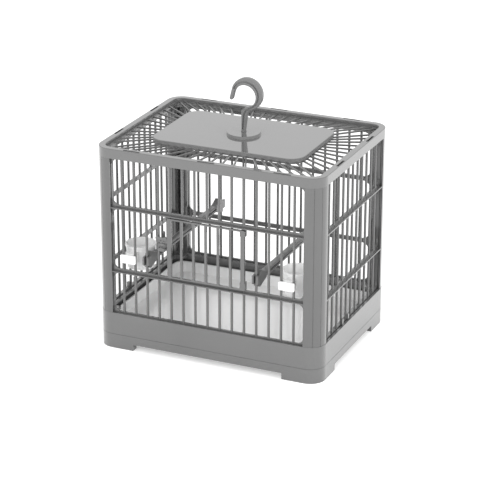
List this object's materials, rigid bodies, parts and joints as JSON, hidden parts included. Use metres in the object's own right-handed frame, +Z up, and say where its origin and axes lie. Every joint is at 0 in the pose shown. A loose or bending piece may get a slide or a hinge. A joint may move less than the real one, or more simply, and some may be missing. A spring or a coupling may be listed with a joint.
{
  "type": "bird cage",
  "caption": "Knock-down plastic bird cage with barred walls, a hinged door, lift-out tray, clip-on cups, two perches and a swivel hook.",
  "frame": {"origin": "centre of the footprint, on the surface that the cage stands on", "axes": "+Z up along the hook's swivel axis, +Y towards the back (the door faces -Y), +X to the right when facing the door"},
  "size_m": [0.3526, 0.268, 0.3971],
  "materials": {
    "grey_plastic": "moulded, glossy",
    "cover_plastic": "moulded, glossy",
    "hook_plastic": "moulded, glossy",
    "perch_plastic": "moulded, satin",
    "tray_plastic": "vacuum formed, glossy",
    "cup_plastic": "moulded, glossy",
    "washer_steel": "plated"
  },
  "bodies": {
    "base": {"base_pan": "grey_plastic"},
    "tray": {"floor_tray": "tray_plastic"},
    "cage": {"base_ring": "grey_plastic", "post_front_left": "grey_plastic", "post_front_right": "grey_plastic", "post_back_left": "grey_plastic", "post_back_right": "grey_plastic", "front_panel": "grey_plastic", "back_panel": "grey_plastic", "left_panel": "grey_plastic", "right_panel": "grey_plastic", "top_frame": "cover_plastic", "top_grille": "grey_plastic", "centre_plate": "cover_plastic"},
    "door": {"door": "grey_plastic"},
    "latch": {"door_latch": "grey_plastic"},
    "hook": {"hook": "hook_plastic", "hook_nut": "hook_plastic", "hook_washer": "washer_steel"},
    "perch_left": {"perch_left": "perch_plastic"},
    "perch_right": {"perch_right": "perch_plastic"},
    "food_cup": {"food_cup": "cup_plastic"},
    "water_cup": {"water_cup": "cup_plastic"}
  },
  "joints": [
    {"name": "tray_lift", "type": "slide", "parent": "base", "child": "tray", "axis": [0, 0, 1], "range_m": [0, 0.011]},
    {"name": "cage_lift_off", "type": "slide", "parent": "base", "child": "cage", "axis": [0, 0, 1], "range_m": [0, 0.09]},
    {"name": "door_hinge", "type": "hinge", "parent": "cage", "child": "door", "pos_m": [0.0573, -0.128, 0.17], "axis": [0, 0, 1], "range_deg": [0, 120]},
    {"name": "latch_turn", "type": "hinge", "parent": "door", "child": "latch", "pos_m": [-0.0698, -0.132, 0.1823], "axis": [0, -1, 0], "range_deg": [0, 90]},
    {"name": "hook_swivel", "type": "hinge", "parent": "cage", "child": "hook", "pos_m": [0, 0, 0.3149], "axis": [0, 0, 1], "continuous": true},
    {"name": "perch_left_height", "type": "slide", "parent": "cage", "child": "perch_left", "axis": [0, 0, 1], "range_m": [-0.008, 0.055]},
    {"name": "perch_right_height", "type": "slide", "parent": "cage", "child": "perch_right", "axis": [0, 0, 1], "range_m": [-0.008, 0.055]},
    {"name": "food_cup_height", "type": "slide", "parent": "cage", "child": "food_cup", "axis": [0, 0, 1], "range_m": [-0.01, 0.058]},
    {"name": "water_cup_height", "type": "slide", "parent": "cage", "child": "water_cup", "axis": [0, 0, 1], "range_m": [-0.01, 0.058]}
  ]
}
